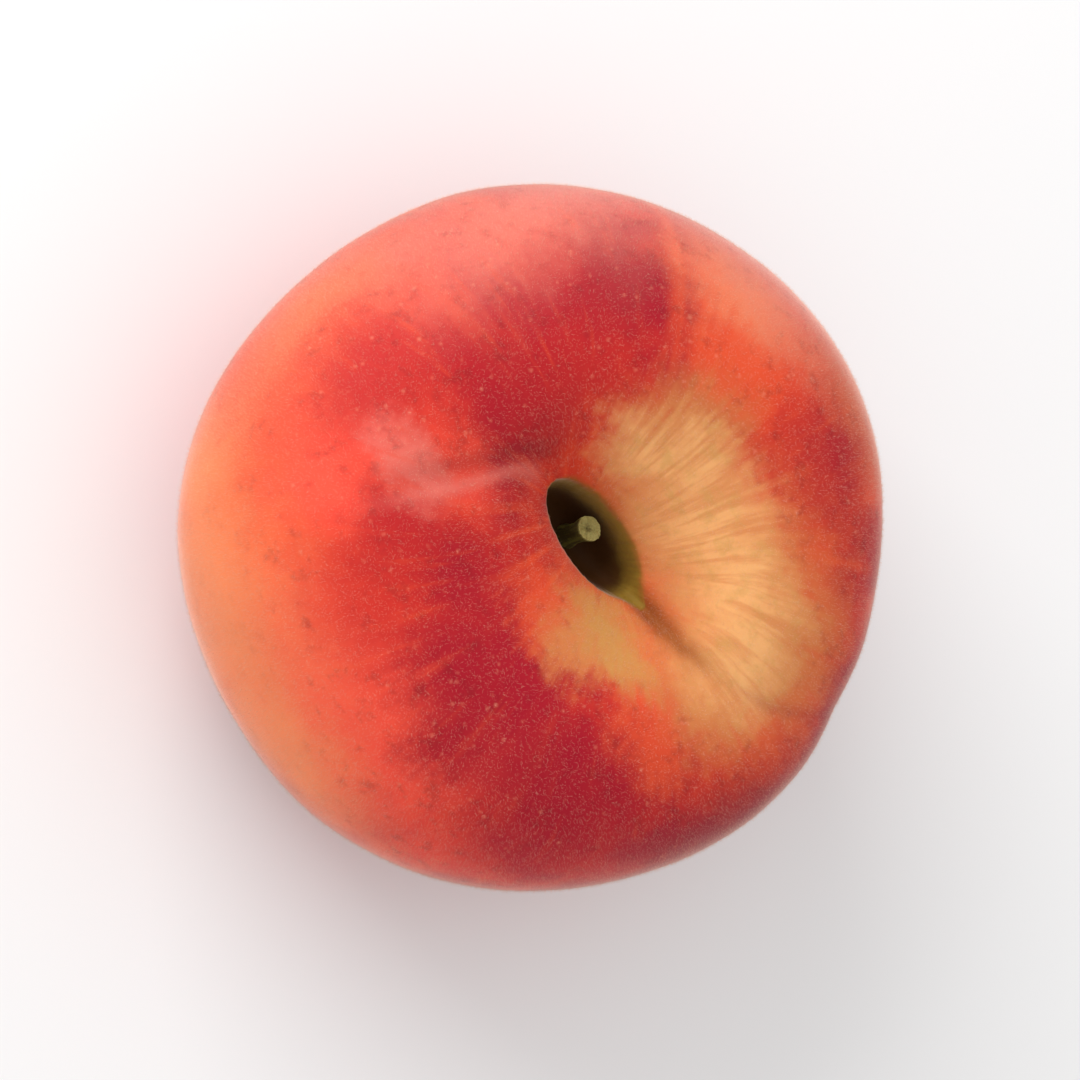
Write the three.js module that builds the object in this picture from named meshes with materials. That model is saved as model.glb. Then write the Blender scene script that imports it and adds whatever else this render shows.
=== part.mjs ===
// A flat peach lying as it rests by itself: on its heel, with the stem pit up.
// Two grown pieces: the fruit, and the short dry stub of its stalk standing in the pit.
//
// Millimetres, +Z up. The origin is under the middle of the fruit, on the surface it rests on.
// The suture, the shallow line that runs over the fruit, leaves the pit towards +X.

import * as THREE from "three";

// ---- Driving dimensions -------------------------------------------------------------------

const fruitRadius = 35;          // at the widest, before the outline's own unevenness
const fruitHeight = 41;          // crest of the shoulder above the surface it rests on
const rimHeight = 21.3;          // height of the widest place
const crestRadius = 19;          // ring where the shoulder is highest
const heelRadius = 17;           // ring that the fruit rests on
const basinHeight = 4.6;         // how far the blossom end is drawn up into the underside
const settle = 0.3;              // how much the soft heel is pressed flat

const pitLip = { radius: 4, height: 33.8 };    // where the wall of the pit turns into the bowl
const pitFloorHeight = 26.5;
const pitStretch = { along: 0.8, across: -0.22 };   // the pit is a slot that lies along the suture
const pitDrift = { distance: 1.1, bearing: 52 };    // the pit sits a little off the middle

const suture = { groove: 1, grooveWidth: 5.2, crease: 0.75, creaseWidth: 0.9, line: 0.12, bend: 24 };
const dorsalFold = { depth: 0.75, width: 3.4, bearing: 178, bend: 46 };   // dent on the far side of the pit

const outlineWaves = [           // unevenness of the rim, as shares of the radius
  { lobes: 2, size: 0.007, bearing: 67 },
  { lobes: 3, size: 0.008, bearing: -14 },
  { lobes: 5, size: 0.008, bearing: 6 },
];
const shoulderLifts = [          // the shoulder stands higher on one side
  { lobes: 1, size: 0.9, bearing: 150 },
  { lobes: 2, size: 0.5, bearing: 95 },
];

const stub = {
  height: 4.8,
  floorGap: 0.35,                // keeps the stub clear of the floor it has grown on
  footRadius: 0.95,
  waistRadius: 0.9,
  waistHeight: 2.2,
  topRadius: 1.2,
  edge: 0.3,                     // rounding of the foot and of the broken top
  topDip: 0.3,
  oval: 0.12,                    // how much wider it is along the suture than across it
  lean: { x: -0.35, y: 0.85 },   // how far its top stands off its foot
};

const columns = 64;                    // steps round the fruit
const rowsPerCurve = [6, 9, 12, 11, 6];
const stubColumns = 20;
const stubSideRows = 8;

// ---- Small helpers ------------------------------------------------------------------------

const radians = THREE.MathUtils.degToRad;

// 0 before from, 1 after to, and a soft step between them
function ease(from, to, value) {
  return THREE.MathUtils.smoothstep(value, from, to);
}

// a bell of height 1 over zero
function bell(distance, width) {
  return Math.exp(-((distance / width) ** 2));
}

// ---- Profile ------------------------------------------------------------------------------

// Half a section through the fruit, from the pit's floor over the shoulder to the blossom end.
// x is the distance from the axis and y the height. Each curve has a knot, two handles and a
// knot, and the handles lie so that the crest, the rim and the heel run on smoothly.
function profileCurves() {
  const curve = (...places) => new THREE.CubicBezierCurve(...places.map(([x, y]) => new THREE.Vector2(x, y)));
  const lip = [pitLip.radius, pitLip.height];
  const crest = [crestRadius, fruitHeight];
  const rim = [fruitRadius, rimHeight];
  const heel = [heelRadius, 0];
  return [
    curve([0, pitFloorHeight], [2.8, pitFloorHeight], [3.4, 30], lip),                   // pit
    curve(lip, [4.3, 35.7], [11.5, fruitHeight], crest),                                 // bowl
    curve(crest, [28.6, fruitHeight], [fruitRadius, 33.5], rim),                         // shoulder
    curve(rim, [fruitRadius, 8.2], [26.5, 0], heel),                                     // belly
    curve(heel, [10, 0], [6.5, basinHeight], [0, basinHeight]),                          // basin
  ];
}

// One row for each ring of vertices. along counts the curves: 1 is the lip, 2 the crest,
// 3 the rim, 4 the heel and 5 the blossom end. normal points out of the fruit.
function profileRows() {
  const rows = [];
  profileCurves().forEach((curve, number) => {
    const steps = rowsPerCurve[number];
    const first = number === 0 ? 0 : 1;
    for (let step = first; step <= steps; step += 1) {
      const t = step / steps;
      const tangent = curve.getTangent(t);
      rows.push({
        along: number + t,
        point: curve.getPoint(t),
        normal: new THREE.Vector2(-tangent.y, tangent.x),
      });
    }
  });
  return rows;
}

// ---- Skin ---------------------------------------------------------------------------------

// a sum of waves round the fruit, each with its own number of lobes
function wavesAt(waves, bearing) {
  const values = waves.map((wave) => wave.size * Math.cos(wave.lobes * (bearing - radians(wave.bearing))));
  return values.reduce((sum, value) => sum + value, 0);
}

// how much further out the rim stands at this bearing
function outlineScale(along, bearing) {
  const reach = ease(1.2, 2.6, along) * (1 - ease(4, 4.8, along));
  return 1 + reach * wavesAt(outlineWaves, bearing);
}

function shoulderLift(along, bearing) {
  return bell(along - 2, 0.75) * wavesAt(shoulderLifts, bearing);
}

// how deep the suture is drawn in: a broad groove, a sharp crease beside the pit, and a fine line on
function sutureDepth(along, bearing, radius) {
  const turned = bearing - radians(suture.bend) * ease(1.6, 3, along);
  const side = ease(-0.1, 0.35, Math.cos(turned));
  const off = radius * Math.sin(turned);
  const wide = bell(off, suture.grooveWidth);
  const narrow = bell(off, suture.creaseWidth);
  const groove = wide * ease(0.9, 1.5, along) * (1 - 0.6 * ease(2, 3, along)) * (1 - ease(3.4, 4.6, along));
  const crease = narrow * ease(0.8, 1.05, along) * (1 - ease(1.25, 1.75, along));
  const line = narrow * ease(1.3, 1.8, along) * (1 - ease(3.6, 4.4, along));
  return side * (suture.groove * groove + suture.crease * crease + suture.line * line);
}

function dorsalDepth(along, bearing, radius) {
  const turned = bearing - radians(dorsalFold.bearing) - radians(dorsalFold.bend) * ease(1, 2.4, along);
  const side = ease(-0.1, 0.35, Math.cos(turned));
  const reach = ease(0.95, 1.4, along) * (1 - ease(1.5, 2.5, along));
  return dorsalFold.depth * bell(radius * Math.sin(turned), dorsalFold.width) * side * reach;
}

// the place on the skin of one profile row at one bearing
function skinPoint(row, bearing) {
  const { along, point, normal } = row;
  const radius = point.x * outlineScale(along, bearing);
  const depth = sutureDepth(along, bearing, radius) + dorsalDepth(along, bearing, radius);
  const reach = radius - normal.x * depth;
  const height = point.y + shoulderLift(along, bearing) - normal.y * depth;
  const nearPit = 1 - ease(0.8, 1.9, along);
  const drift = pitDrift.distance * (1 - ease(0.9, 2.6, along));
  const driftBearing = radians(pitDrift.bearing);
  const x = reach * Math.cos(bearing) * (1 + pitStretch.along * nearPit) + drift * Math.cos(driftBearing);
  const y = reach * Math.sin(bearing) * (1 + pitStretch.across * nearPit) + drift * Math.sin(driftBearing);
  return new THREE.Vector3(x, y, Math.max(height - settle, 0));
}

// A turned body with every vertex then moved to its place on the skin. A lathe turns a profile
// that runs upwards, and makes its vertices column by column.
function fruitGeometry() {
  const rows = profileRows().reverse();
  const geometry = new THREE.LatheGeometry(rows.map((row) => row.point), columns);
  const position = geometry.attributes.position;
  for (let vertex = 0; vertex < position.count; vertex += 1) {
    const column = Math.floor(vertex / rows.length) % columns;
    const place = skinPoint(rows[vertex % rows.length], (2 * Math.PI * column) / columns);
    position.setXYZ(vertex, place.x, place.y, place.z);
  }
  geometry.computeVertexNormals();
  return geometry;
}

// ---- Stalk stub ---------------------------------------------------------------------------

// a short stalk: rounded foot, slight waist, and a wider broken top that dips in the middle
function stubGeometry() {
  const { height, footRadius, waistRadius, waistHeight, topRadius, edge, topDip } = stub;
  const side = new THREE.SplineCurve([
    new THREE.Vector2(footRadius, edge),
    new THREE.Vector2(waistRadius, waistHeight),
    new THREE.Vector2(topRadius, height - edge),
  ]);
  const profile = [
    new THREE.Vector2(0, 0),
    new THREE.Vector2(footRadius - edge, 0),
    ...side.getPoints(stubSideRows),
    new THREE.Vector2(topRadius - edge, height),
    new THREE.Vector2(0, height - topDip),
  ];
  const geometry = new THREE.LatheGeometry(profile, stubColumns);
  geometry.rotateX(Math.PI / 2);
  const position = geometry.attributes.position;
  for (let vertex = 0; vertex < position.count; vertex += 1) {
    const z = position.getZ(vertex);
    const share = z / height;
    const x = position.getX(vertex) * (1 + stub.oval) + stub.lean.x * share;
    const y = position.getY(vertex) * (1 - stub.oval) + stub.lean.y * share;
    position.setXYZ(vertex, x, y, z);
  }
  geometry.computeVertexNormals();
  return geometry;
}

// ---- Pieces -------------------------------------------------------------------------------

function piece(name, geometry, material) {
  const mesh = new THREE.Mesh(geometry, new THREE.MeshStandardMaterial(material));
  mesh.name = name;
  return mesh;
}

const fruit = piece("fruit", fruitGeometry(), { color: 0xd8503c, roughness: 0.6, metalness: 0 });
const stemStub = piece("stem_stub", stubGeometry(), { color: 0x8a7442, roughness: 0.85, metalness: 0 });

stemStub.position.set(
  pitDrift.distance * Math.cos(radians(pitDrift.bearing)),
  pitDrift.distance * Math.sin(radians(pitDrift.bearing)),
  pitFloorHeight - settle + stub.floorGap,
);

// the uneven outline is brought back over the origin, and the stub with it
fruit.geometry.computeBoundingBox();
const middle = fruit.geometry.boundingBox.getCenter(new THREE.Vector3());

const group = new THREE.Group();
group.add(fruit, stemStub);
group.children.forEach((mesh) => {
  mesh.position.x -= middle.x;
  mesh.position.y -= middle.y;
});

export default group;
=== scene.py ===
import math

import bpy
from mathutils import Matrix, Vector


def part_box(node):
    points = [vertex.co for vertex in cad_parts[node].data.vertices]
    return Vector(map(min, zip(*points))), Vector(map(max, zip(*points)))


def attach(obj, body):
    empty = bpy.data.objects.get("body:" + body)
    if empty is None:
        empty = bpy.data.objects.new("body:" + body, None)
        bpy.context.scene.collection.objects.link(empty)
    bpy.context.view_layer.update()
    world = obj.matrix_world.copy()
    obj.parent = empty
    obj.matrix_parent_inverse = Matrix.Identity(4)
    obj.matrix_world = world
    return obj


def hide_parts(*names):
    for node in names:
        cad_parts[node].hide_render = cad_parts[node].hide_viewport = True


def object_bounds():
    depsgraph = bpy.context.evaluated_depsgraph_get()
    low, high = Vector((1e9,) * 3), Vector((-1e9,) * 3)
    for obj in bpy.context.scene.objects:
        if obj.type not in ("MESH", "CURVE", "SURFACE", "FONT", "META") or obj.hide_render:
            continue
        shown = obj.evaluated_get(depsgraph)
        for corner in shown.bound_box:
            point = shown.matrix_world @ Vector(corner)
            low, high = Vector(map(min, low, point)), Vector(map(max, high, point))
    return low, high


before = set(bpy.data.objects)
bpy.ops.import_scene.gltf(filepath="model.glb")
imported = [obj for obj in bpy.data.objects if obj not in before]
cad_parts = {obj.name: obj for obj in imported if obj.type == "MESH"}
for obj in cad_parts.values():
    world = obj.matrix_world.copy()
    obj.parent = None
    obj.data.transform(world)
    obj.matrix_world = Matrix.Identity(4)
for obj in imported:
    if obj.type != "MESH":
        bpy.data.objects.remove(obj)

# A flat peach on its heel, stem pit up. Metres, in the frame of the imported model: the suture
# leaves the pit towards +X. Bearings are turned from there about the fruit's own axis.

scene = bpy.context.scene
cadLow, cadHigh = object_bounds()
fruitLow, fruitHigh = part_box("fruit")
stubLow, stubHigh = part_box("stem_stub")
mm = 0.001


def plug(tree, socket, value):                      # a link or a plain value
    if isinstance(value, Field):
        value = value.socket
    if isinstance(value, bpy.types.NodeSocket):
        tree.links.new(value, socket)
    elif value is not None:
        socket.default_value = value


def liveSocket(sockets, name):                      # some nodes hold hidden sockets of the same name
    return next(socket for socket in sockets if socket.name == name and socket.enabled)


def addNode(tree, kind, settings=None, inputs=None):
    node = tree.nodes.new(kind)
    for name, value in (settings or {}).items():
        setattr(node, name, value)
    for name, value in (inputs or {}).items():
        plug(tree, liveSocket(node.inputs, name), value)
    return node


class Field:                                        # a number that runs over the surface
    def __init__(self, tree, socket):
        self.tree = tree
        self.socket = socket

    def math(self, operation, *values):
        node = addNode(self.tree, "ShaderNodeMath", {"operation": operation})
        for socket, value in zip(node.inputs, values):
            plug(self.tree, socket, value)
        return Field(self.tree, node.outputs[0])

    def __add__(self, other):
        return self.math("ADD", self, other)

    def __radd__(self, other):
        return self.math("ADD", other, self)

    def __sub__(self, other):
        return self.math("SUBTRACT", self, other)

    def __rsub__(self, other):
        return self.math("SUBTRACT", other, self)

    def __mul__(self, other):
        return self.math("MULTIPLY", self, other)

    def __rmul__(self, other):
        return self.math("MULTIPLY", other, self)

    def __truediv__(self, other):
        return self.math("DIVIDE", self, other)

    def sine(self):
        return self.math("SINE", self)

    def cosine(self):
        return self.math("COSINE", self)

    def atLeast(self, least):
        return self.math("MAXIMUM", self, least)

    def ease(self, start, end):                     # 0 before start, 1 after end, soft between
        node = addNode(self.tree, "ShaderNodeMapRange", {"interpolation_type": "SMOOTHSTEP"},
                       {"Value": self, "From Min": start, "From Max": end})
        return Field(self.tree, node.outputs[0])

    def span(self, start, full, fade, end):         # rises from start to full, falls from fade to end
        return self.ease(start, full) * (1.0 - self.ease(fade, end))

    def bell(self, width):                          # 1 at zero, falling away over width
        share = self / width
        power = share * share * -1.0
        return power.math("EXPONENT", power)


def vectorMath(tree, operation, *values):
    node = addNode(tree, "ShaderNodeVectorMath", {"operation": operation})
    for socket, value in zip(node.inputs, values):
        plug(tree, socket, value)
    return node.outputs["Value"] if operation in ("LENGTH", "DOT_PRODUCT", "DISTANCE") else node.outputs[0]


def scaled(tree, vector, amount):
    node = addNode(tree, "ShaderNodeVectorMath", {"operation": "SCALE"}, {"Scale": amount})
    plug(tree, node.inputs[0], vector)
    return node.outputs[0]


def mixed(tree, kind, factor, first, second, blend="MIX"):
    settings = {"data_type": kind}
    if kind == "RGBA":
        settings["blend_type"] = blend
    node = addNode(tree, "ShaderNodeMix", settings, {"Factor": factor, "A": first, "B": second})
    return liveSocket(node.outputs, "Result")


def combined(tree, x=0.0, y=0.0, z=0.0):
    return addNode(tree, "ShaderNodeCombineXYZ", None, {"X": x, "Y": y, "Z": z}).outputs[0]


def parts(tree, vector):
    node = addNode(tree, "ShaderNodeSeparateXYZ", None, {"Vector": vector})
    return [Field(tree, socket) for socket in node.outputs]


def noise(tree, vector, scale, detail=2.0, roughness=0.5, output="Fac"):
    node = addNode(tree, "ShaderNodeTexNoise", None, {
        "Vector": vector, "Scale": scale, "Detail": detail, "Roughness": roughness})
    return Field(tree, node.outputs[output])


def geometryTree(name, inputs):
    tree = bpy.data.node_groups.new(name, "GeometryNodeTree")
    tree.interface.new_socket("Geometry", in_out="OUTPUT", socket_type="NodeSocketGeometry")
    tree.interface.new_socket("Geometry", in_out="INPUT", socket_type="NodeSocketGeometry")
    kinds = {float: "Float", int: "Int", Vector: "Vector", bpy.types.Material: "Material"}
    for label, value in inputs.items():
        tree.interface.new_socket(label, in_out="INPUT", socket_type="NodeSocket" + kinds[type(value)])
    source = tree.nodes.new("NodeGroupInput")
    return tree, source, tree.nodes.new("NodeGroupOutput")


def numberInputs(tree, source, sizes):
    return {name: Field(tree, source.outputs[name]) for name, value in sizes.items() if type(value) is float}


def grow(name, tree, inputs, bed=None):             # the tree's result as a plain mesh of its own
    seedMesh = bed.data.copy() if bed else bpy.data.meshes.new(name + "Seed")
    grower = bpy.data.objects.new(name + "Grower", seedMesh)
    scene.collection.objects.link(grower)
    modifier = grower.modifiers.new("grow", "NODES")
    modifier.node_group = tree
    for item in tree.interface.items_tree:
        if item.in_out == "INPUT" and item.name in inputs:
            modifier[item.identifier] = inputs[item.name]
    grower.update_tag()
    bpy.context.view_layer.update()
    graph = bpy.context.evaluated_depsgraph_get()
    mesh = bpy.data.meshes.new_from_object(grower.evaluated_get(graph), preserve_all_data_layers=True,
                                           depsgraph=graph)
    mesh.name = name
    worn = next(material for material in mesh.materials if material)
    mesh.materials.clear()                          # the tree leaves an empty first slot
    mesh.materials.append(worn)
    mesh.polygons.foreach_set("material_index", [0] * len(mesh.polygons))
    bpy.data.objects.remove(grower)
    bpy.data.meshes.remove(seedMesh)
    piece = bpy.data.objects.new(name, mesh)
    scene.collection.objects.link(piece)
    print("  ", name, len(mesh.vertices), "vertices", len(mesh.polygons), "faces")
    return piece


fruitShape = {                                      # the body, in its own millimetres and degrees
    "Rim Radius": 35.0, "Rim Height": 21.3, "Fruit Height": 41.0, "Crest Radius": 19.0,
    "Heel Radius": 17.0, "Basin Height": 4.6, "Settle": 0.3,
    "Lip Radius": 4.0, "Lip Height": 33.8, "Pit Floor": 26.5,
    "Pit Along": 0.8, "Pit Across": -0.22, "Pit Drift": 1.1, "Pit Drift Bearing": 52.0,
    "Groove Depth": 1.0, "Groove Width": 5.2, "Suture Bend": 24.0,
    "Crease Depth": 1.05, "Crease Width": 1.0, "Line Depth": 0.05,
    "Dorsal Depth": 0.75, "Dorsal Width": 3.4, "Dorsal Bearing": 178.0, "Dorsal Bend": 46.0,
    "Lump Size": 0.22, "Pucker Depth": 0.1, "Scar Height": 0.7,
    "Box Low": fruitLow, "Box High": fruitHigh,
    "Columns": 384, "Rows": 240,
}
outlineWaves = ((2, 0.007, 67), (3, 0.008, -14), (5, 0.008, 6))      # lobes, share of the radius, bearing
shoulderLifts = ((1, 0.9, 150), (2, 0.5, 95))                        # lobes, millimetres, bearing
curveCount = 5                                      # pit, bowl, shoulder, belly and basin
profilePulls = {                                    # where the handles of those curves pull, in millimetres
    "pitFloorOut": 2.8, "wallOut": 3.4, "wallUp": 30.0, "bowlOut": 4.3, "bowlUp": 35.7, "crestIn": 11.5,
    "shoulderOut": 28.6, "shoulderUp": 33.5, "bellyUp": 8.2, "footOut": 26.5, "heelIn": 10.0,
    "basinOut": 6.5,
}
# Along the skin: 0 pit floor, 1 lip, 2 crest, 3 rim, 4 heel, 5 scar
reaches = {                                         # starts, is full, starts to fade, is gone
    "lobes": (1.2, 2.6, 4.0, 4.8), "crease": (0.8, 1.05, 1.2, 1.85), "line": (1.3, 1.8, 3.6, 4.4),
    "dorsal": (0.95, 1.4, 1.5, 2.5), "dorsalLightShadePaint": (1.15, 1.4, 1.95, 2.3),
    "creaseShadePaint": (0.8, 1.0, 1.65, 2.05), "linePaint": (1.9, 2.2, 3.8, 4.5), "down": (1.0, 1.25, 4.7, 4.85),
}


def waveSum(waves, bearing):
    total = None
    for lobes, size, start in waves:
        wave = ((bearing - math.radians(start)) * float(lobes)).cosine() * size
        total = wave if total is None else total + wave
    return total


def profilePoint(tree, size, along):                # place on the half section, and the way it runs
    lip = combined(tree, size["Lip Radius"], 0.0, size["Lip Height"])
    crest = combined(tree, size["Crest Radius"], 0.0, size["Fruit Height"])
    rim = combined(tree, size["Rim Radius"], 0.0, size["Rim Height"])
    heel = combined(tree, size["Heel Radius"])
    pull = profilePulls
    points = [
        combined(tree, 0.0, 0.0, size["Pit Floor"]),
        combined(tree, pull["pitFloorOut"], 0.0, size["Pit Floor"]),
        combined(tree, pull["wallOut"], 0.0, pull["wallUp"]), lip,
        combined(tree, pull["bowlOut"], 0.0, pull["bowlUp"]),
        combined(tree, pull["crestIn"], 0.0, size["Fruit Height"]), crest,
        combined(tree, pull["shoulderOut"], 0.0, size["Fruit Height"]),
        combined(tree, size["Rim Radius"], 0.0, pull["shoulderUp"]), rim,
        combined(tree, size["Rim Radius"], 0.0, pull["bellyUp"]), combined(tree, pull["footOut"]), heel,
        combined(tree, pull["heelIn"]), combined(tree, pull["basinOut"], 0.0, size["Basin Height"]),
        combined(tree, 0.0, 0.0, size["Basin Height"]),
    ]
    number = along.math("FLOOR", along).math("MINIMUM", along.math("FLOOR", along), curveCount - 1.0)
    share = along - number
    ends = []
    for place in range(4):                          # knot, handle, handle, knot of this row's own curve
        switch = addNode(tree, "GeometryNodeIndexSwitch", {"data_type": "VECTOR"})
        while len(switch.index_switch_items) < curveCount:
            switch.index_switch_items.new()
        plug(tree, switch.inputs["Index"], number)
        for curve in range(curveCount):
            plug(tree, switch.inputs[1 + curve], points[3 * curve + place])
        ends.append(switch.outputs[0])
    while len(ends) > 2:                            # halving the span between neighbours, as a Bezier does
        ends = [mixed(tree, "VECTOR", share, first, second) for first, second in zip(ends, ends[1:])]
    place = mixed(tree, "VECTOR", share, *ends)
    return place, vectorMath(tree, "NORMALIZE", vectorMath(tree, "SUBTRACT", ends[1], ends[0]))


def bodyTree(sizes):
    tree, source, result = geometryTree("peach body", sizes)
    size = numberInputs(tree, source, sizes)
    sheet = addNode(tree, "GeometryNodeMeshGrid", None, {
        "Size X": 1.0, "Size Y": float(curveCount),
        "Vertices X": source.outputs["Columns"], "Vertices Y": source.outputs["Rows"]})
    across, down, _ = parts(tree, addNode(tree, "GeometryNodeInputPosition").outputs[0])
    bearing = (across + 0.5) * math.tau
    along = down + curveCount / 2
    point, run = profilePoint(tree, size, along)
    pointX, _, pointZ = parts(tree, point)
    runX, _, runZ = parts(tree, run)

    outline = 1.0 + waveSum(outlineWaves, bearing) * along.span(*reaches["lobes"])
    radius = pointX * outline
    lift = waveSum(shoulderLifts, bearing) * (along - 2.0).bell(0.75)

    turned = bearing - size["Suture Bend"] * math.radians(1) * along.ease(1.6, 3.0)
    front = turned.cosine().ease(-0.1, 0.35)
    sutureOff = radius * turned.sine()
    groove = (sutureOff.bell(size["Groove Width"]) * along.ease(0.9, 1.5)
              * (1.0 - 0.6 * along.ease(2.0, 3.0)) * (1.0 - along.ease(3.4, 4.6)))
    narrow = sutureOff.bell(size["Crease Width"])
    crease = narrow * along.span(*reaches["crease"])
    line = narrow * along.span(*reaches["line"])
    cut = size["Crease Depth"] * crease + size["Line Depth"] * line
    suture = front * (size["Groove Depth"] * groove + cut)

    dorsalTurn = (bearing - size["Dorsal Bearing"] * math.radians(1)
                  - size["Dorsal Bend"] * math.radians(1) * along.ease(1.0, 2.4))
    dorsalOff = radius * dorsalTurn.sine()
    back = dorsalTurn.cosine().ease(-0.1, 0.35)
    dorsal = (size["Dorsal Depth"] * dorsalOff.bell(size["Dorsal Width"]) * back
              * along.span(*reaches["dorsal"]))

    depth = suture + dorsal
    reach = radius + runZ * depth                   # the skin's normal is the run turned a quarter round
    height = pointZ + lift - runX * depth
    nearPit = 1.0 - along.ease(0.8, 1.9)
    drift = size["Pit Drift"] * (1.0 - along.ease(0.9, 2.6))
    driftBearing = size["Pit Drift Bearing"] * math.radians(1)
    x = reach * bearing.cosine() * (1.0 + size["Pit Along"] * nearPit) + drift * driftBearing.cosine()
    y = reach * bearing.sine() * (1.0 + size["Pit Across"] * nearPit) + drift * driftBearing.sine()
    z = (height - size["Settle"]).atLeast(0.0)

    marks = {                                       # what the skin's colours and the finer relief follow
        "along": along,
        "sutureOff": sutureOff,
        "sutureSide": front,
        "dorsalOff": dorsalOff,
        "dorsalSide": back,
        "meridianX": bearing.cosine(),
        "meridianY": bearing.sine(),
    }
    geometry = sheet.outputs["Mesh"]
    for name, value in marks.items():
        geometry = addNode(tree, "GeometryNodeStoreNamedAttribute", None, {
            "Geometry": geometry, "Name": name, "Value": value}).outputs[0]
    geometry = addNode(tree, "GeometryNodeSetPosition", None, {
        "Geometry": geometry, "Position": combined(tree, x, y, z)}).outputs[0]
    geometry = addNode(tree, "GeometryNodeMergeByDistance", None, {
        "Geometry": geometry, "Distance": 0.0001}).outputs[0]
    geometry = addNode(tree, "GeometryNodeFlipFaces", None, {"Mesh": geometry}).outputs[0]  # to face outward
    geometry = fittedBetween(tree, geometry, source.outputs["Box Low"], source.outputs["Box High"])
    geometry = skinRelief(tree, geometry, size)
    geometry = addNode(tree, "GeometryNodeSetShadeSmooth", None, {"Geometry": geometry}).outputs[0]
    geometry = addNode(tree, "GeometryNodeSetMaterial", None, {
        "Geometry": geometry, "Material": source.outputs["Skin"]}).outputs[0]
    tree.links.new(geometry, result.inputs[0])
    return tree


def fittedBetween(tree, geometry, low, high):       # stretched to lie exactly between two corners
    found = addNode(tree, "GeometryNodeBoundBox", None, {"Geometry": geometry})
    position = addNode(tree, "GeometryNodeInputPosition").outputs[0]
    share = vectorMath(tree, "DIVIDE", vectorMath(tree, "SUBTRACT", position, found.outputs["Min"]),
                       vectorMath(tree, "SUBTRACT", found.outputs["Max"], found.outputs["Min"]))
    place = vectorMath(tree, "MULTIPLY_ADD", share, vectorMath(tree, "SUBTRACT", high, low), low)
    return addNode(tree, "GeometryNodeSetPosition", None, {
        "Geometry": geometry, "Position": place}).outputs[0]


def named(tree, name):                              # one of the marks that the body carries
    node = addNode(tree, "GeometryNodeInputNamedAttribute", {"data_type": "FLOAT"}, {"Name": name})
    return Field(tree, liveSocket(node.outputs, "Attribute"))


def skinRelief(tree, geometry, size):               # lumps, the puckered lip, and the scar underneath
    position = addNode(tree, "GeometryNodeInputPosition").outputs[0]
    normal = addNode(tree, "GeometryNodeInputNormal").outputs[0]
    along = named(tree, "along")
    around = combined(tree, named(tree, "meridianX"), named(tree, "meridianY"), along * 0.05)
    lumps = (noise(tree, position, 75.0, 1.0) - 0.5) * 2.0 * size["Lump Size"] * along.ease(1.1, 1.9)
    puckers = (noise(tree, around, 9.0, 2.0) - 0.5) * 2.0 * size["Pucker Depth"]
    nearLip = (along - 1.0).bell(0.35)
    nearScar = along.ease(4.55, 4.9)
    scar = along.ease(4.86, 4.97) * size["Scar Height"] * (0.6 + 0.8 * noise(tree, position, 900.0, 3.0))
    offHeel = 1.0 - along.ease(3.3, 3.8) + along.ease(4.3, 4.6)
    total = lumps * offHeel + puckers * (nearLip + nearScar) + scar
    moved = addNode(tree, "GeometryNodeSetPosition", None, {
        "Geometry": geometry, "Offset": scaled(tree, normal, total * mm)}).outputs[0]
    x, y, z = parts(tree, position)
    return addNode(tree, "GeometryNodeSetPosition", None, {
        "Geometry": moved, "Position": combined(tree, x, y, z.atLeast(0.0))}).outputs[0]


def paint(code):                                    # a colour code, made linear for the shader
    shares = [int(code[place:place + 2], 16) / 255 for place in (0, 2, 4)]
    return (*[share / 12.92 if share < 0.04 else ((share + 0.055) / 1.055) ** 2.4 for share in shares], 1.0)


def newMaterial(name):
    material = bpy.data.materials.new(name)
    material.use_nodes = True
    tree = material.node_tree
    return material, tree, tree.nodes["Principled BSDF"]


def shaderGroup(name, inputs, outputs):
    tree = bpy.data.node_groups.new(name, "ShaderNodeTree")
    for label, kind in inputs.items():
        tree.interface.new_socket(label, in_out="INPUT", socket_type="NodeSocket" + kind)
    for label, kind in outputs.items():
        tree.interface.new_socket(label, in_out="OUTPUT", socket_type="NodeSocket" + kind)
    return tree, tree.nodes.new("NodeGroupInput"), tree.nodes.new("NodeGroupOutput")


def patchGroup():                                   # a soft-edged patch about one place on the skin
    tree, source, result = shaderGroup(
        "patch", {"Position": "Vector", "Centre": "Vector", "Reach": "Vector", "Softness": "Float"},
        {"Mask": "Float"})
    off = vectorMath(tree, "SUBTRACT", source.outputs["Position"], source.outputs["Centre"])
    away = Field(tree, vectorMath(tree, "LENGTH", vectorMath(tree, "DIVIDE", off, source.outputs["Reach"])))
    soft = Field(tree, source.outputs["Softness"])
    plug(tree, result.inputs["Mask"], 1.0 - away.ease(1.0 - soft, 1.0 + soft))
    return tree


def grainGroup():                                   # fine bumps, for skin and stalk
    tree, source, result = shaderGroup(
        "grain",
        {"Position": "Vector", "Coarse Scale": "Float", "Fine Scale": "Float", "Fine Share": "Float"},
        {"Height": "Float"})
    coarse = noise(tree, source.outputs["Position"], source.outputs["Coarse Scale"], 2.0)
    fine = noise(tree, source.outputs["Position"], source.outputs["Fine Scale"], 3.0, 0.6)
    share = Field(tree, source.outputs["Fine Share"])
    plug(tree, result.inputs["Height"], coarse * (1.0 - share) + fine * share)
    return tree


def useGroup(tree, group, inputs):
    return addNode(tree, "ShaderNodeGroup", {"node_tree": group}, inputs)


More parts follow.
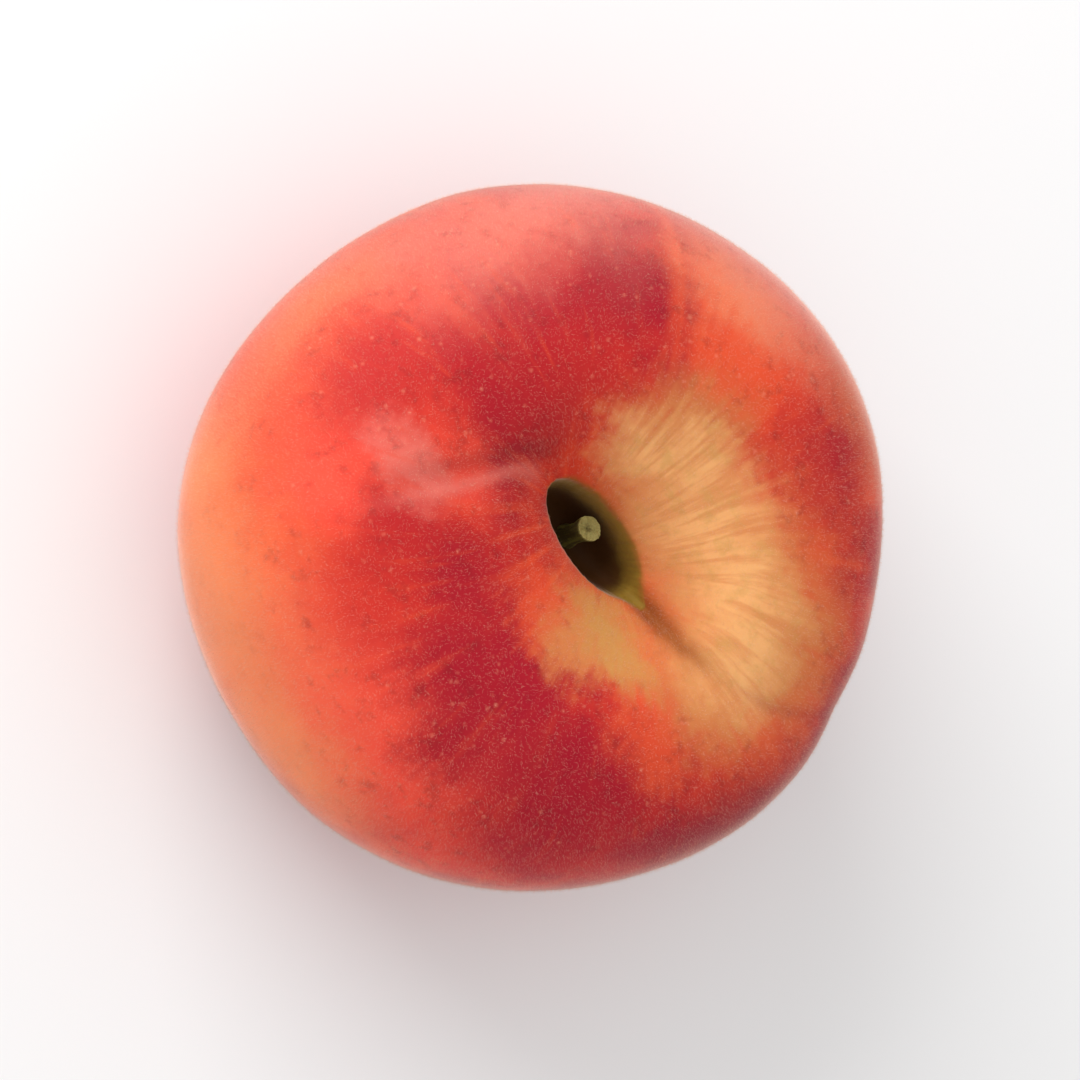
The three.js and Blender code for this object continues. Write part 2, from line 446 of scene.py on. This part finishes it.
skinPaints = {
    "red": "cc2e24", "crimson": "a81026", "orange": "e6542e", "ground": "dc9c5c", "shade": "7a1c22",
    "cream": "f0b070", "tan": "d07c46", "straw": "c4944e", "salmon": "dc5e44", "coral": "f85440",
    "roseHighlight": "d07468", "yellowOrange": "fa9a60", "highlightPink": "e6786a", "maroonAndShade": "84222a", "rust": "c4603c",
    "olive": "98782a", "barkAndPitShade": "4c2c10", "creaseBrownAndShade": "94501e", "freckle": "f0987a", "scar": "5c3a20",
}
# Paint, strength, softness, then centres and reaches in millimetres; each lies over the last
skinPatches = (
    ("orange", 0.65, 0.7, (((-27, -20, 32), (12, 15, 18)), ((6, 30, 34), (12, 9, 10)))),
    ("coral", 0.9, 0.75, (((-1, -29, 34), (15, 9, 12)), ((-22, -18, 38), (6, 6, 7)))),
    ("yellowOrange", 0.65, 0.7, (((-17, -32, 22), (16, 10, 13)), ((-29, -25, 20), (8, 8, 9)),
                                ((-4, -35, 24), (12, 6, 9)))),
    ("salmon", 0.85, 0.8, (((-34, -6, 28), (9, 17, 13)), ((-29, 12, 34), (6, 8, 6)))),
    ("yellowOrange", 0.2, 0.9, (((-33, -6, 28), (6, 8, 7)),)),
    # painted highlight: pale rose along the upper rim, on the side that faces the light
    ("roseHighlight", 0.75, 0.9, (((-27, 19, 33), (8, 9, 9)), ((-14, 31, 27), (14, 9, 12)),
                        ((7, 34, 22), (12, 6, 12)))),
    ("crimson", 0.9, 0.7, (((4, -17, 41), (8, 8, 9)), ((-16, 4, 41), (6, 6, 7)),
                           ((17, -19, 37), (11, 8, 10)),
                           ((-13, -17, 41), (6, 4, 6)), ((8, 22, 41), (5, 6, 6)))),
    ("coral", 0.6, 0.8, (((-16, -8, 40), (6, 3, 5)),)),
    ("red", 0.75, 0.8, (((-9, -20, 39), (8, 7, 7)), ((-27, -7, 38), (8, 8, 8)))),
    ("crimson", 0.7, 0.9, (((-22, 9, 40.5), (5, 5, 5)), ((-22, -1, 40.5), (5, 4, 5)))),
    ("crimson", 0.45, 0.9, (((-28, -9, 37), (6, 6, 6)),)),
    ("red", 0.5, 0.9, (((-14, 7, 41), (7, 7, 7)),)),
    ("crimson", 0.85, 0.8, (((-7, -15, 41), (4, 4, 5)), ((-1, -20, 40.5), (4, 4, 5)),
                            ((5, -25, 39), (4, 4, 5)))),
    # partly the skin's own dark red, partly painted shade on the flank turned away from the light
    ("maroonAndShade", 0.75, 0.8, (((33, -2, 27), (8, 14, 14)), ((31, 14, 24), (7, 10, 12)))),
    ("maroonAndShade", 0.3, 0.8, (((-20, 17, 40), (6, 6, 6)),)),
    ("rust", 0.7, 0.7, (((6, 30, 34), (9, 5, 7)),)),
    ("yellowOrange", 0.5, 0.9, (((-10, 26, 39), (7, 5, 6)),)),
    # painted highlight: more pale rose along the upper rim
    ("roseHighlight", 0.5, 0.9, (((-10, 30, 34), (10, 6, 8)), ((-30, 6, 33), (7, 8, 8)))),
    ("orange", 0.8, 0.6, (((-5, 19, 42), (6, 4, 5)), ((2, -9, 38), (5, 4, 5)), ((8, 6, 38), (15, 13, 10)),
                          ((19, 3, 39), (11, 9, 8)), ((18, -8, 39), (5, 4, 5)))),
    ("tan", 1.0, 0.7, (((3, 8, 36), (7.5, 8, 8)), ((-4, 8, 38), (4, 4, 5)), ((6, -9, 38), (4, 3, 4)),
                       ((-3, 11, 41), (6, 6, 6)), ((12, 8, 38), (9, 8, 8)),
                       ((18, 6, 39), (8, 8, 8)), ((18, -1, 38), (7, 4.5, 7)), ((9, -5, 36), (7, 3.5, 7)))),
    ("cream", 0.95, 0.8, (((5, 9, 39), (6.5, 5.5, 6)), ((12, 8, 39), (6, 4, 6)), ((16, 5, 39), (5, 4, 5)),
                          ((-1, 11, 41), (3.5, 3, 4)), ((-4, 8, 39), (4, 3.5, 4)),
                          ((17, 2.5, 38.5), (5, 3.5, 4)))),
    ("straw", 0.7, 0.8, (((8, -5.5, 37), (5, 2.6, 5)),)),
    # painted highlight: a pale pink spot on the ridge beyond the dorsal groove
    ("highlightPink", 0.7, 0.7, (((-19, -12, 40), (4.5, 2.4, 4)),)),
)
skinFinish = {"edgeDrift": 3.2, "streakDrift": 2.4, "fineDrift": 1.5, "roughness": 0.66, "sheen": 1.0,
              "subsurface": 0.12}


def skinMaterial(groups):
    material, tree, shader = newMaterial("peach skin")
    objectPlace = addNode(tree, "ShaderNodeTexCoord").outputs["Object"]
    place = scaled(tree, objectPlace, 1 / mm)       # in millimetres

    def mark(name):
        node = addNode(tree, "ShaderNodeAttribute", {"attribute_name": name})
        return Field(tree, node.outputs["Fac"])

    along, suture, dorsal = mark("along"), mark("sutureOff"), mark("dorsalOff")
    meridian = combined(tree, mark("meridianX"), mark("meridianY"), along * 0.16)
    streaks = noise(tree, meridian, 17.0, 3.0, 0.6)
    longStreaks = noise(tree, meridian, 7.0, 2.0, 0.5)
    blotches = noise(tree, place, 0.11, 3.0, 0.55)
    mottle = noise(tree, place, 0.55, 4.0, 0.62)
    drift = scaled(tree, vectorMath(tree, "SUBTRACT", noise(tree, place, 0.16, 3.0, 0.6, output="Color"),
                                    (0.5, 0.5, 0.5)), 2 * skinFinish["edgeDrift"])
    streakPush = scaled(tree, combined(tree, mark("meridianX"), mark("meridianY")),
                        (streaks - 0.5) * 2.0 * skinFinish["streakDrift"])
    shiver = scaled(tree, vectorMath(tree, "SUBTRACT", noise(tree, place, 0.7, 3.0, 0.65, output="Color"),
                                     (0.5, 0.5, 0.5)), 2 * skinFinish["fineDrift"])
    loose = vectorMath(tree, "ADD", vectorMath(tree, "ADD", place, drift),
                       vectorMath(tree, "ADD", streakPush, shiver))

    def over(amount, name):                         # that paint, laid over what is there
        return mixed(tree, "RGBA", amount, colour, paint(skinPaints[name]))

    colour = paint(skinPaints["red"])
    colour = over(blotches.ease(0.38, 0.62), "crimson")
    colour = over(longStreaks.ease(0.5, 0.72) * 0.6, "orange")
    for name, strength, softness, spots in skinPatches:
        mask = None
        for centre, reach in spots:
            patch = Field(tree, useGroup(tree, groups["patch"], {
                "Position": loose, "Centre": centre, "Reach": reach, "Softness": softness}).outputs["Mask"])
            mask = patch if mask is None else mask.math("MAXIMUM", mask, patch)
        colour = over(mask * strength, name)
    under = (along + (longStreaks - 0.5) * 0.9 + (blotches - 0.5) * 0.8).ease(3.45, 4.1)
    colour = over(under * 0.9, "ground")

    redness = Field(tree, addNode(tree, "ShaderNodeSeparateColor", None, {"Color": colour}).outputs["Green"])
    inRed = 1.0 - redness.ease(0.08, 0.3)
    colour = over(mottle.ease(0.52, 0.75) * inRed * 0.35, "shade")
    colour = over(streaks.ease(0.55, 0.8) * inRed * 0.3, "orange")
    inPale = redness.ease(0.16, 0.36) * (1.0 - along.ease(2.2, 2.6))
    colour = over(streaks.ease(0.42, 0.66) * inPale * 0.5, "tan")
    colour = over(mottle.ease(0.45, 0.7) * inPale * 0.4, "straw")
    freckles = addNode(tree, "ShaderNodeTexVoronoi", None, {
        "Vector": place, "Scale": 0.7, "Randomness": 1.0})
    dots = (1.0 - Field(tree, freckles.outputs["Distance"]).ease(0.04, 0.24)) * mottle.ease(0.4, 0.6)
    colour = over(dots * inRed * 0.3, "freckle")

    dorsalLightShadeReach = mark("dorsalSide") * along.span(*reaches["dorsalLightShadePaint"])
    # painted highlight in pink along one wall of the dorsal groove, painted shade in maroon along the other
    colour = over((dorsal - 1.3).bell(0.9) * dorsalLightShadeReach * 0.55, "highlightPink")
    colour = over((dorsal + 1.2).bell(1.2) * dorsalLightShadeReach * 0.3, "maroonAndShade")
    # partly the suture's own brown, partly painted shade in the crease: a tan band with a brown core, from
    # the lip up the bowl
    creaseShadeReach = mark("sutureSide") * along.span(*reaches["creaseShadePaint"])
    wobble = suture + (mottle - 0.5) * 1.2
    colour = over(wobble.bell(2.4) * creaseShadeReach * 0.6, "tan")
    colour = over(wobble.bell(1.2) * creaseShadeReach * 0.85, "creaseBrownAndShade")
    farLine = mark("sutureSide") * along.span(*reaches["linePaint"])
    colour = over(wobble.bell(0.9) * farLine * 0.25, "maroonAndShade")
    edge = along + (mottle - 0.5) * 0.25
    colour = over(1.0 - edge.ease(0.9, 1.12), "olive")
    # painted shade deep in the pit: dark brown over its floor and lower walls
    colour = over(1.0 - edge.ease(0.55, 0.95), "barkAndPitShade")
    colour = over((along + (mottle - 0.5) * 0.06).ease(4.84, 4.9), "scar")
    plug(tree, shader.inputs["Base Color"], colour)

    plug(tree, shader.inputs["Roughness"], skinFinish["roughness"] + (mottle - 0.5) * 0.2)
    shader.inputs["Specular IOR Level"].default_value = 0.15
    shader.inputs["Sheen Weight"].default_value = skinFinish["sheen"]
    shader.inputs["Sheen Roughness"].default_value = 0.26
    shader.inputs["Sheen Tint"].default_value = paint("ffdcd0")
    shader.inputs["Subsurface Weight"].default_value = skinFinish["subsurface"]
    shader.inputs["Subsurface Radius"].default_value = (1.0, 0.35, 0.18)
    shader.inputs["Subsurface Scale"].default_value = 2 * mm
    grain = useGroup(tree, groups["grain"], {
        "Position": place, "Coarse Scale": 1.1, "Fine Scale": 4.5, "Fine Share": 0.45})
    bump = addNode(tree, "ShaderNodeBump", None, {
        "Strength": 0.5, "Distance": 0.12 * mm, "Height": grain.outputs["Height"]})
    plug(tree, shader.inputs["Normal"], bump.outputs["Normal"])
    return material


def makeFruit(groups):
    sizes = {**fruitShape, "Skin": skinMaterial(groups)}
    fruit = grow("peach", bodyTree(sizes), sizes)
    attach(fruit, "root")
    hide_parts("fruit")
    return fruit


downShape = {                                       # the fine hairs all over the skin, in metres
    "Hairs A Square Metre": 3.45e6, "Hair Length": 0.42 * mm, "Hair Width": 0.014 * mm,
    "Spread": 0.75, "Lie": 0.35, "Seed": 3,
}
downLayers = 4                                      # pieces of down, each under the limit on faces


def downTree(sizes):
    tree, source, result = geometryTree("peach down", sizes)
    along = named(tree, "along")
    height = parts(tree, addNode(tree, "GeometryNodeInputPosition").outputs[0])[2]
    outside = along.span(*reaches["down"]) * height.ease(0.3 * mm, 0.9 * mm)        # none where it rests
    seed = source.outputs["Seed"]
    places = addNode(tree, "GeometryNodeDistributePointsOnFaces", None, {
        "Mesh": source.outputs["Geometry"], "Seed": seed,
        "Density": outside * Field(tree, source.outputs["Hairs A Square Metre"])})

    def chance(least, most, offset, kind="FLOAT"):
        node = addNode(tree, "FunctionNodeRandomValue", {"data_type": kind}, {
            "Min": least, "Max": most, "Seed": Field(tree, seed) * 7.0 + offset})
        return liveSocket(node.outputs, "Value")

    downhill = combined(tree, 0.0, 0.0, Field(tree, source.outputs["Lie"]) * -1.0)
    stray = scaled(tree, chance((-1, -1, -1), (1, 1, 1), 1.0, "FLOAT_VECTOR"), source.outputs["Spread"])
    lean = vectorMath(tree, "ADD", vectorMath(tree, "ADD", places.outputs["Normal"], stray), downhill)
    turned = addNode(tree, "FunctionNodeAlignRotationToVector", {"axis": "Z"}, {"Vector": lean})
    width = Field(tree, source.outputs["Hair Width"])
    length = Field(tree, chance(0.45, 1.15, 2.0)) * Field(tree, source.outputs["Hair Length"])
    hair = addNode(tree, "GeometryNodeMeshCone", {"fill_type": "NGON"}, {
        "Vertices": 3, "Radius Top": 0.0, "Radius Bottom": 0.5, "Depth": 1.0})
    hairs = addNode(tree, "GeometryNodeInstanceOnPoints", None, {
        "Points": places.outputs["Points"], "Instance": hair.outputs["Mesh"],
        "Rotation": turned.outputs["Rotation"], "Scale": combined(tree, width, width, length)})
    real = addNode(tree, "GeometryNodeRealizeInstances", None, {"Geometry": hairs.outputs["Instances"]})
    x, y, z = parts(tree, addNode(tree, "GeometryNodeInputPosition").outputs[0])
    clear = addNode(tree, "GeometryNodeSetPosition", None, {
        "Geometry": real.outputs["Geometry"], "Position": combined(tree, x, y, z.atLeast(0.0))})
    done = addNode(tree, "GeometryNodeSetMaterial", None, {
        "Geometry": clear.outputs["Geometry"], "Material": source.outputs["Down"]})
    tree.links.new(done.outputs["Geometry"], result.inputs[0])
    return tree


def downMaterial():
    material, tree, shader = newMaterial("peach down")
    shader.inputs["Base Color"].default_value = paint("f4c8b0")
    shader.inputs["Roughness"].default_value = 0.8
    shader.inputs["Specular IOR Level"].default_value = 0.2
    return material


def makeDown(fruit):
    sizes = {**downShape, "Down": downMaterial()}
    tree = downTree(sizes)
    for layer in range(downLayers):
        sizes["Seed"] = downShape["Seed"] + layer
        down = grow("down_" + str(layer + 1), tree, sizes, fruit)
        for name in [attribute.name for attribute in down.data.attributes]:
            attribute = down.data.attributes[name]
            if not attribute.is_required and not attribute.is_internal:
                down.data.attributes.remove(attribute)
        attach(down, "root")


stubShape = {                                       # the dry stalk, as shares of its own height and width
    "Foot": 1.0, "Waist": 0.78, "Mouth": 1.0, "Ridge": 0.09, "Tear": 0.1, "Dip": 0.12,
    "Lean X": -0.35 * mm, "Lean Y": 0.85 * mm,
    "Foot Place": Vector(), "Half Width": 1.2 * mm, "Height": 5.0 * mm,
    "Columns": 96, "Rows": 60,
}


def stubTree(sizes):
    tree, source, result = geometryTree("dry stalk", sizes)
    size = numberInputs(tree, source, sizes)
    sheet = addNode(tree, "GeometryNodeMeshGrid", None, {
        "Size X": 1.0, "Size Y": 1.0,
        "Vertices X": source.outputs["Columns"], "Vertices Y": source.outputs["Rows"]})
    across, up, _ = parts(tree, addNode(tree, "GeometryNodeInputPosition").outputs[0])
    bearing = (across + 0.5) * math.tau
    run = up + 0.5                                  # foot 0, edge of the broken end 0.7, its middle 1
    side = (run / 0.7).math("MINIMUM", run / 0.7, 1.0)
    inward = run.ease(0.68, 1.0)
    ring = combined(tree, bearing.cosine(), bearing.sine(), side * 0.25)
    rib = (noise(tree, ring, 2.6, 3.0, 0.6) - 0.5) * 2.0
    outward = 1.0 - inward
    end = combined(tree, bearing.cosine() * outward, bearing.sine() * outward, 4.0)
    torn = (noise(tree, end, 3.2, 4.0, 0.7) - 0.5) * 2.0
    flare = size["Foot"] + (size["Waist"] - size["Foot"]) * side.ease(0.0, 0.35) \
        + (size["Mouth"] - size["Waist"]) * side.ease(0.55, 1.0)
    closed = run.ease(0.0, 0.01)                    # the first ring drawn in, so that the foot is shut
    radius = size["Half Width"] * (flare + rib * size["Ridge"]) * outward * closed
    height = size["Height"] * (side + torn * size["Tear"] * run.ease(0.5, 0.75) - inward * size["Dip"])
    x = radius * bearing.cosine() * 1.1 + size["Lean X"] * side
    y = radius * bearing.sine() * 0.9 + size["Lean Y"] * side
    place = vectorMath(tree, "ADD", combined(tree, x, y, height), source.outputs["Foot Place"])
    geometry = sheet.outputs["Mesh"]
    for name, value in (("run", run), ("rib", rib)):
        geometry = addNode(tree, "GeometryNodeStoreNamedAttribute", None, {
            "Geometry": geometry, "Name": name, "Value": value}).outputs[0]
    geometry = addNode(tree, "GeometryNodeSetPosition", None, {
        "Geometry": geometry, "Position": place}).outputs[0]
    geometry = addNode(tree, "GeometryNodeMergeByDistance", None, {
        "Geometry": geometry, "Distance": 0.0001 * mm}).outputs[0]
    geometry = addNode(tree, "GeometryNodeSetShadeSmooth", None, {"Geometry": geometry}).outputs[0]
    geometry = addNode(tree, "GeometryNodeSetMaterial", None, {
        "Geometry": geometry, "Material": source.outputs["Stalk"]}).outputs[0]
    tree.links.new(geometry, result.inputs[0])
    return tree


stubPaints = {"green": "98903e", "barkAndPitShade": "5a4a20", "end": "a89a58", "heart": "6c5c2c"}


def stubMaterial(groups):
    material, tree, shader = newMaterial("dry stalk")
    place = scaled(tree, addNode(tree, "ShaderNodeTexCoord").outputs["Object"], 1 / mm)
    run = Field(tree, addNode(tree, "ShaderNodeAttribute", {"attribute_name": "run"}).outputs["Fac"])
    rib = Field(tree, addNode(tree, "ShaderNodeAttribute", {"attribute_name": "rib"}).outputs["Fac"])
    fleck = noise(tree, place, 3.0, 4.0, 0.6)
    green = (rib + (fleck - 0.5)).ease(-0.2, 0.5)
    heart = run.ease(0.82, 0.95) * fleck.ease(0.3, 0.6)
    colour = mixed(tree, "RGBA", green, paint(stubPaints["barkAndPitShade"]), paint(stubPaints["green"]))
    colour = mixed(tree, "RGBA", run.ease(0.62, 0.72), colour, paint(stubPaints["end"]))
    colour = mixed(tree, "RGBA", heart, colour, paint(stubPaints["heart"]))
    plug(tree, shader.inputs["Base Color"], colour)
    plug(tree, shader.inputs["Roughness"], 0.7 + (fleck - 0.5) * 0.3)
    grain = useGroup(tree, groups["grain"], {
        "Position": place, "Coarse Scale": 4.0, "Fine Scale": 14.0, "Fine Share": 0.5})
    bump = addNode(tree, "ShaderNodeBump", None, {
        "Strength": 0.6, "Distance": 0.1 * mm, "Height": grain.outputs["Height"]})
    plug(tree, shader.inputs["Normal"], bump.outputs["Normal"])
    return material


def makeStub(groups):
    sunk = 0.55 * mm                                # the foot goes down into the floor of the pit
    middle = (stubLow + stubHigh) / 2
    foot = Vector((middle.x - stubShape["Lean X"] / 2, middle.y - stubShape["Lean Y"] / 2, stubLow.z - sunk))
    sizes = {**stubShape, "Foot Place": foot, "Height": stubHigh.z - foot.z, "Stalk": stubMaterial(groups)}
    stub = grow("stalk_stub", stubTree(sizes), sizes)
    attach(stub, "root")
    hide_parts("stem_stub")


cameraSet = {"lean": 22.0, "turn": 52.0, "away": 0.72, "fruitShare": 0.66, "sensor": 36.0}
lightSet = {"right": -0.35, "back": 0.75, "away": 0.6, "size": 0.45, "watts": 3.0, "world": 0.8}
floorSet = {"reach": 2.0, "grey": 0.9}


def makeCamera():
    lean, turn = math.radians(cameraSet["lean"]), math.radians(cameraSet["turn"])
    imageUp = Vector((-math.sin(turn), math.cos(turn), 0))
    back = Vector((-math.cos(turn) * math.sin(lean), -math.sin(turn) * math.sin(lean), math.cos(lean)))
    right = imageUp.cross(back)
    middle = (cadLow + cadHigh) / 2
    turned = Matrix((right, imageUp, back)).transposed().to_4x4()
    turned.translation = middle + back * cameraSet["away"]
    camera = bpy.data.objects.new("camera", bpy.data.cameras.new("camera"))
    scene.collection.objects.link(camera)
    camera.matrix_world = turned
    frameWidth = (cadHigh.y - cadLow.y) / cameraSet["fruitShare"]
    camera.data.sensor_width = cameraSet["sensor"]
    camera.data.lens = camera.data.sensor_width * cameraSet["away"] / frameWidth
    scene.camera = camera
    return right, imageUp, back, middle


def makeLight(direction, middle):
    light = bpy.data.lights.new("key", "AREA")
    light.energy = lightSet["watts"]
    light.size = lightSet["size"]
    lamp = bpy.data.objects.new("key", light)
    scene.collection.objects.link(lamp)
    lamp.location = middle + direction.normalized() * lightSet["away"]
    lamp.rotation_mode = "QUATERNION"
    lamp.rotation_quaternion = direction.to_track_quat("Z", "Y")


def makeStage():
    right, imageUp, back, middle = makeCamera()
    makeLight(imageUp + lightSet["right"] * right + lightSet["back"] * back, middle)
    world = bpy.data.worlds.new("studio")
    world.use_nodes = True
    world.node_tree.nodes["Background"].inputs["Color"].default_value = (1, 1, 1, 1)
    world.node_tree.nodes["Background"].inputs["Strength"].default_value = lightSet["world"]
    scene.world = world
    scene.view_settings.view_transform = "Standard"
    mesh = bpy.data.meshes.new("floor")
    far = floorSet["reach"]
    mesh.from_pydata([(-far, -far, 0), (far, -far, 0), (far, far, 0), (-far, far, 0)], [], [(0, 1, 2, 3)])
    floor = bpy.data.objects.new("floor", mesh)
    scene.collection.objects.link(floor)
    paper = bpy.data.materials.new("white paper")
    paper.use_nodes = True
    grey = floorSet["grey"]
    paper.node_tree.nodes["Principled BSDF"].inputs["Base Color"].default_value = (grey, grey, grey, 1)
    mesh.materials.append(paper)


print("stage: camera, light and floor")
makeStage()
print("shader groups")
groups = {"patch": patchGroup(), "grain": grainGroup()}
print("fruit")
fruit = makeFruit(groups)
print("down on its skin")
makeDown(fruit)
print("stalk stub")
makeStub(groups)
